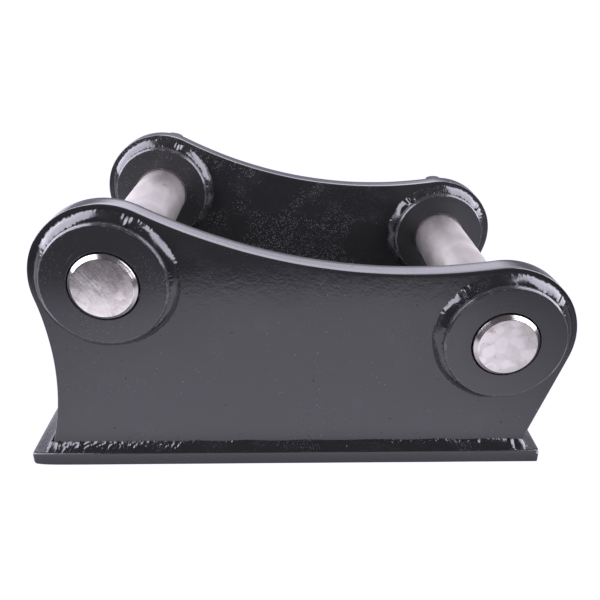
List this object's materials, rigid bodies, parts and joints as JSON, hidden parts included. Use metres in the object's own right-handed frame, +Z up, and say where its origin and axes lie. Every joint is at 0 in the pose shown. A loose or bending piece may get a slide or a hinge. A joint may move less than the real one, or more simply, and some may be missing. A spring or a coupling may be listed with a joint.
{
  "type": "quick coupler bracket",
  "caption": "Weld-on excavator coupler bracket: base plate, profiled ears with reinforcing rings, and two cross-bolted steel pins that carry the arm and the link.",
  "frame": {"origin": "centre of the base plate's underside, the face that is welded to the attachment", "axes": "+Z up out of the base plate, +X from the high pin towards the low pin, +Y towards the bolted ends of the pins"},
  "size_m": [0.3844, 0.2816, 0.1947],
  "materials": {
    "black_paint": "black satin enamel over plate steel",
    "painted_weld": "black gloss enamel over rippled weld bead",
    "pin_steel": "bright turned steel",
    "black_oxide": "black oxide over high-tensile steel"
  },
  "bodies": {
    "frame": {"base_plate": "black_paint", "near_ear": "black_paint", "far_ear": "black_paint", "near_foot_weld": "painted_weld", "far_foot_weld": "painted_weld", "near_outer_ring_left": "black_paint", "near_outer_ring_weld_left": "painted_weld", "near_inner_ring_left": "black_paint", "near_inner_ring_weld_left": "painted_weld", "far_inner_ring_left": "black_paint", "far_inner_ring_weld_left": "painted_weld", "far_collar_left": "black_paint", "far_collar_weld_left": "painted_weld", "near_outer_ring_right": "black_paint", "near_outer_ring_weld_right": "painted_weld", "near_inner_ring_right": "black_paint", "near_inner_ring_weld_right": "painted_weld", "far_inner_ring_right": "black_paint", "far_inner_ring_weld_right": "painted_weld", "far_collar_right": "black_paint", "far_collar_weld_right": "painted_weld"},
    "left_pin": {"left_pin": "pin_steel"},
    "left_bolt": {"left_bolt": "black_oxide", "left_upper_washer": "black_oxide"},
    "left_washer": {"left_lower_washer": "black_oxide"},
    "left_nut": {"left_lock_nut": "black_oxide"},
    "right_pin": {"right_pin": "pin_steel"},
    "right_bolt": {"right_bolt": "black_oxide", "right_upper_washer": "black_oxide"},
    "right_washer": {"right_lower_washer": "black_oxide"},
    "right_nut": {"right_lock_nut": "black_oxide"}
  },
  "joints": [
    {"name": "left_pin_float", "type": "slide", "parent": "frame", "child": "left_pin", "axis": [0, 1, 0], "range_m": [-0.0006, 0.0006]},
    {"name": "left_bolt_lift", "type": "slide", "parent": "frame", "child": "left_bolt", "axis": [0.225, 0, 0.9744], "range_m": [0, 0.1]},
    {"name": "left_washer_drop", "type": "slide", "parent": "frame", "child": "left_washer", "axis": [-0.225, 0, -0.9744], "range_m": [0, 0.01]},
    {"name": "left_nut_turn", "type": "hinge", "parent": "left_washer", "child": "left_nut", "pos_m": [-0.1175, 0.1325, 0.1432], "axis": [-0.225, 0, -0.9744], "range_deg": [0, 2880]},
    {"name": "right_pin_float", "type": "slide", "parent": "frame", "child": "right_pin", "axis": [0, 1, 0], "range_m": [-0.0006, 0.0006]},
    {"name": "right_bolt_lift", "type": "slide", "parent": "frame", "child": "right_bolt", "axis": [-0.0349, 0, 0.9994], "range_m": [0, 0.1]},
    {"name": "right_washer_drop", "type": "slide", "parent": "frame", "child": "right_washer", "axis": [0.0349, 0, -0.9994], "range_m": [0, 0.01]},
    {"name": "right_nut_turn", "type": "hinge", "parent": "right_washer", "child": "right_nut", "pos_m": [0.1479, 0.1325, 0.0998], "axis": [0.0349, 0, -0.9994], "range_deg": [0, 2880]}
  ],
  "couplings": [
    {"joint": "left_washer_drop", "follows": "left_nut_turn", "m_per_rad": 0.00019894},
    {"joint": "right_washer_drop", "follows": "right_nut_turn", "m_per_rad": 0.00019894}
  ]
}
